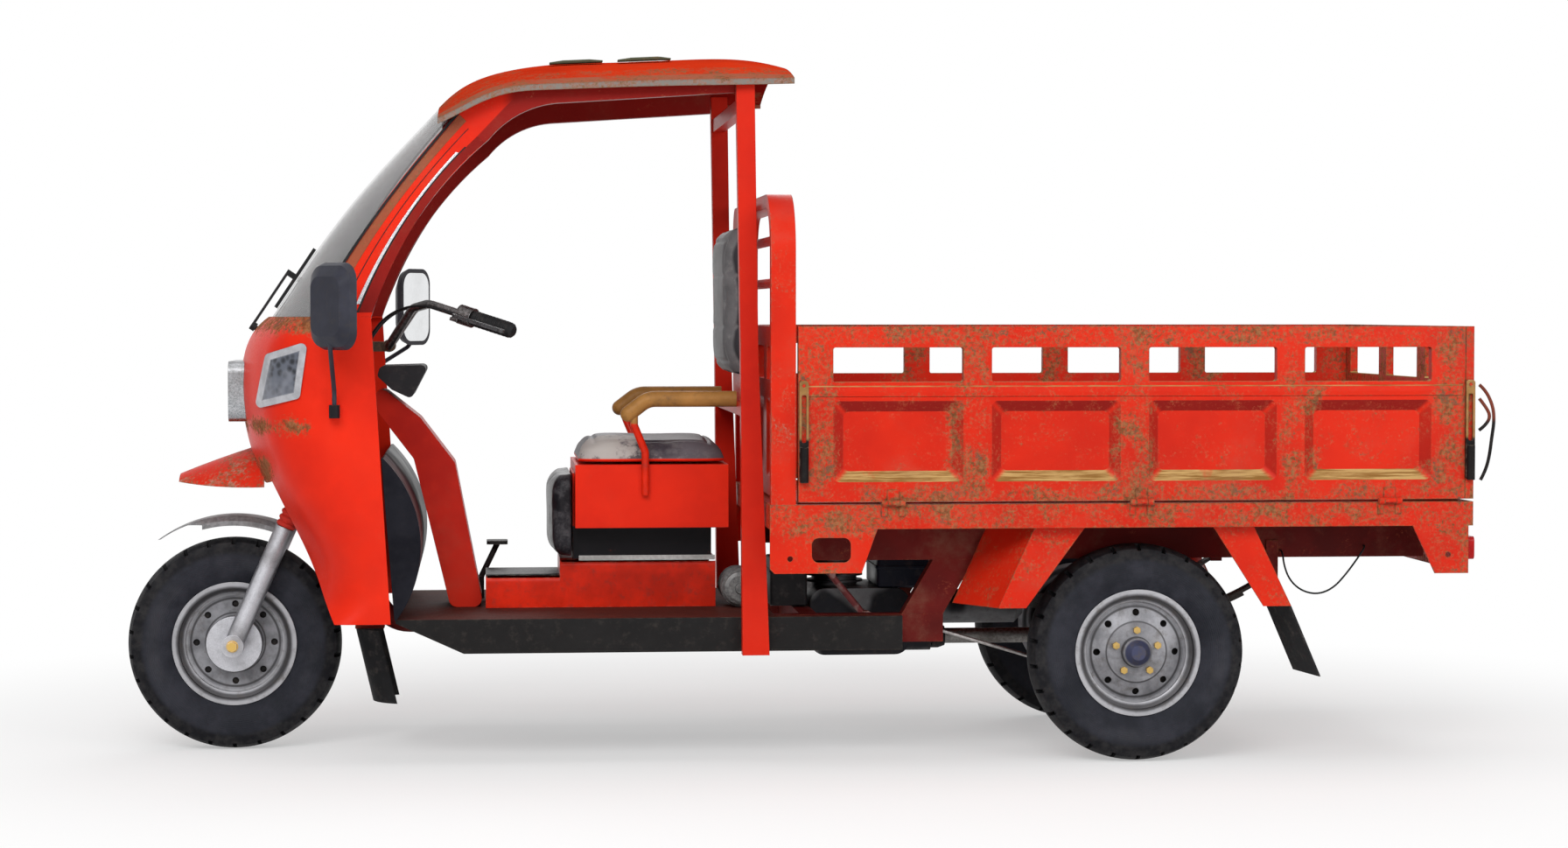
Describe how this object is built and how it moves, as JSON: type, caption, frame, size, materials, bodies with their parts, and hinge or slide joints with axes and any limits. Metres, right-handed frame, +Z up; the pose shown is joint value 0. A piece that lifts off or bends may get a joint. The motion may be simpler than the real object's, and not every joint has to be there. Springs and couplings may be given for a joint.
{
  "type": "cargo tricycle",
  "caption": "Motorised cargo tricycle with a half-open cab, handlebar steering, a raked front fork, leaf-sprung rear axle and a bed with drop-down sides.",
  "frame": {"origin": "on the ground, at the middle of the overall length and width", "axes": "+X forward, +Y to the driver's left, +Z up"},
  "size_m": [3.54, 1.36, 1.8586],
  "materials": {
    "red_paint": "worn gloss paint with chips and rust",
    "dark_paint": "dusty black paint",
    "black_plastic": "worn matte",
    "gloss_black": "glossy with dust",
    "rubber": "dusty matte",
    "red_rubber": "satin ribbed",
    "tyre": "dusty, worn lugs",
    "steel": "weathered bare steel",
    "chrome": "dulled chrome",
    "aluminium": "cast, oxidised",
    "bronze": "yellow zinc plating, rubbed",
    "glass": "clear with a grey tint",
    "lamp_glass": "clear",
    "lamp_red": "clear red",
    "grey_vinyl": "worn vinyl with creases",
    "tan_vinyl": "worn vinyl",
    "wire": "cable sheath"
  },
  "bodies": {
    "chassis": {"chassis_frame": "red_paint", "footboard": "dark_paint", "center_tunnel": "red_paint", "column_cover": "red_paint", "instrument_panel": "black_plastic", "leg_shield": "gloss_black", "front_fairing": "red_paint", "front_beak": "red_paint", "headlamp_housings": "chrome", "headlamp_lenses": "lamp_glass", "grille": "chrome", "windscreen": "glass", "cab_pillars": "red_paint", "rear_hoop": "red_paint", "roof_shell": "red_paint", "seat_box": "red_paint", "seat_cushion": "grey_vinyl", "backrest_shell": "red_paint", "backrest_cushion": "grey_vinyl", "armrests": "tan_vinyl", "shin_pad": "gloss_black", "engine": "aluminium", "leaf_springs": "steel", "bed_floor": "red_paint", "headboard": "red_paint", "rear_mudguards": "red_paint", "mud_flaps": "rubber", "tail_lamps": "lamp_red", "rear_wire": "wire"},
    "steering": {"steering_stem": "chrome", "fork_boots": "red_rubber", "handlebar": "dark_paint", "left_grip": "rubber"},
    "fork_lower": {"fork_sliders": "aluminium", "front_mudguard": "steel"},
    "front_wheel": {"front_rim": "steel", "front_tyre": "tyre"},
    "rear_axle_beam": {"rear_axle": "dark_paint"},
    "rear_wheel_left": {"rear_rim_left": "steel", "rear_tyre_left": "tyre"},
    "rear_wheel_right": {"rear_rim_right": "steel", "rear_tyre_right": "tyre"},
    "propshaft_carrier": {"propshaft_boot": "rubber"},
    "propshaft_tube": {"propshaft": "steel"},
    "left_gate": {"gate_left": "red_paint"},
    "right_gate": {"gate_right": "red_paint"},
    "rear_gate": {"tailgate": "red_paint"},
    "front_left_latch": {"latch_front_left": "bronze"},
    "front_right_latch": {"latch_front_right": "bronze"},
    "rear_left_latch": {"latch_rear_left": "bronze"},
    "rear_right_latch": {"latch_rear_right": "bronze"},
    "twist_grip": {"throttle_grip": "rubber"},
    "clutch": {"clutch_lever": "aluminium"},
    "front_brake": {"brake_lever": "aluminium"},
    "horn": {"horn_button": "black_plastic"},
    "foot_brake": {"brake_pedal": "dark_paint"},
    "kick_start": {"kick_lever": "chrome"},
    "left_mirror": {"mirror_left": "black_plastic"},
    "right_mirror": {"mirror_right": "black_plastic"},
    "screen_wiper": {"wiper": "black_plastic"}
  },
  "joints": [
    {"name": "steering_turn", "type": "hinge", "parent": "chassis", "child": "steering", "pos_m": [1.485, 0, 0.285], "axis": [-0.4051, 0, 0.9143], "range_deg": [-22, 22]},
    {"name": "fork_travel", "type": "slide", "parent": "steering", "child": "fork_lower", "axis": [-0.4051, 0, 0.9143], "range_m": [-0.02, 0.045], "stiffness_N_per_m": 90000, "springref_m": -0.009, "deforming": ["fork_boots"]},
    {"name": "front_wheel_spin", "type": "hinge", "parent": "fork_lower", "child": "front_wheel", "pos_m": [1.485, 0, 0.285], "axis": [0, 1, 0], "continuous": true},
    {"name": "rear_axle_travel", "type": "slide", "parent": "chassis", "child": "rear_axle_beam", "axis": [0, 0, 1], "range_m": [-0.02, 0.03], "stiffness_N_per_m": 400000, "springref_m": -0.006, "deforming": ["leaf_springs"]},
    {"name": "rear_wheel_left_spin", "type": "hinge", "parent": "rear_axle_beam", "child": "rear_wheel_left", "pos_m": [-0.886, 0.455, 0.285], "axis": [0, 1, 0], "continuous": true},
    {"name": "rear_wheel_right_spin", "type": "hinge", "parent": "rear_axle_beam", "child": "rear_wheel_right", "pos_m": [-0.886, -0.455, 0.285], "axis": [0, 1, 0], "continuous": true},
    {"name": "propshaft_swing", "type": "hinge", "parent": "chassis", "child": "propshaft_carrier", "pos_m": [-0.375, 0, 0.285], "axis": [0, 1, 0], "range_deg": [-4, 6]},
    {"name": "propshaft_spin", "type": "hinge", "parent": "propshaft_carrier", "child": "propshaft_tube", "pos_m": [-0.375, 0, 0.285], "axis": [1, 0, 0], "continuous": true},
    {"name": "gate_left_drop", "type": "hinge", "parent": "chassis", "child": "left_gate", "pos_m": [-0.8555, 0.6095, 0.6865], "axis": [-1, 0, 0], "range_deg": [0, 160]},
    {"name": "gate_right_drop", "type": "hinge", "parent": "chassis", "child": "right_gate", "pos_m": [-0.8555, -0.6095, 0.6865], "axis": [1, 0, 0], "range_deg": [0, 160]},
    {"name": "tailgate_drop", "type": "hinge", "parent": "chassis", "child": "rear_gate", "pos_m": [-1.762, 0, 0.6865], "axis": [0, -1, 0], "range_deg": [0, 160]},
    {"name": "latch_front_left_turn", "type": "hinge", "parent": "left_gate", "child": "front_left_latch", "pos_m": [0.002, 0.6, 0.988], "axis": [0, -1, 0], "range_deg": [0, 90]},
    {"name": "latch_front_right_turn", "type": "hinge", "parent": "right_gate", "child": "front_right_latch", "pos_m": [0.002, -0.6, 0.988], "axis": [0, -1, 0], "range_deg": [0, 90]},
    {"name": "latch_rear_left_turn", "type": "hinge", "parent": "rear_gate", "child": "rear_left_latch", "pos_m": [-1.739, 0.6, 0.988], "axis": [0, 1, 0], "range_deg": [0, 90]},
    {"name": "latch_rear_right_turn", "type": "hinge", "parent": "rear_gate", "child": "rear_right_latch", "pos_m": [-1.739, -0.6, 0.988], "axis": [0, 1, 0], "range_deg": [0, 90]},
    {"name": "throttle_turn", "type": "hinge", "parent": "steering", "child": "twist_grip", "pos_m": [0.742, -0.395, 1.127], "axis": [0.8225, 0.5018, 0.2678], "range_deg": [0, 70], "stiffness_Nm_per_rad": 0.4, "springref_deg": -17.19},
    {"name": "clutch_squeeze", "type": "hinge", "parent": "steering", "child": "clutch", "pos_m": [0.8859, 0.3682, 1.165], "axis": [-0.2286, 0.1394, 0.9635], "range_deg": [0, 8.5], "stiffness_Nm_per_rad": 6, "springref_deg": -17.19},
    {"name": "front_brake_squeeze", "type": "hinge", "parent": "steering", "child": "front_brake", "pos_m": [0.8859, -0.3682, 1.165], "axis": [0.2286, 0.1394, -0.9635], "range_deg": [0, 8.5], "stiffness_Nm_per_rad": 6, "springref_deg": -17.19},
    {"name": "horn_press", "type": "slide", "parent": "steering", "child": "horn", "axis": [0.5208, 0.8537, 0], "range_m": [0, 0.003], "stiffness_N_per_m": 400, "springref_m": -0.002},
    {"name": "brake_pedal_press", "type": "hinge", "parent": "chassis", "child": "foot_brake", "pos_m": [0.83, -0.19, 0.43], "axis": [0, 1, 0], "range_deg": [0, 15], "stiffness_Nm_per_rad": 20, "springref_deg": -17.19},
    {"name": "kick_start_push", "type": "hinge", "parent": "chassis", "child": "kick_start", "pos_m": [-0.207, 0.185, 0.355], "axis": [0, 1, 0], "range_deg": [0, 34], "stiffness_Nm_per_rad": 8, "springref_deg": -28.65},
    {"name": "mirror_left_turn", "type": "hinge", "parent": "chassis", "child": "left_mirror", "pos_m": [1.195, 0.494, 0.905], "axis": [0, 0, 1], "range_deg": [-20, 20]},
    {"name": "mirror_right_turn", "type": "hinge", "parent": "chassis", "child": "right_mirror", "pos_m": [1.195, -0.494, 0.905], "axis": [0, 0, 1], "range_deg": [-20, 20]},
    {"name": "wiper_sweep", "type": "hinge", "parent": "chassis", "child": "screen_wiper", "pos_m": [1.4221, 0, 1.1303], "axis": [0.8317, 0, 0.5553], "range_deg": [-34, 34]}
  ],
  "couplings": [
    {"joint": "propshaft_swing", "follows": "rear_axle_travel", "rad_per_m": 2.5575}
  ]
}
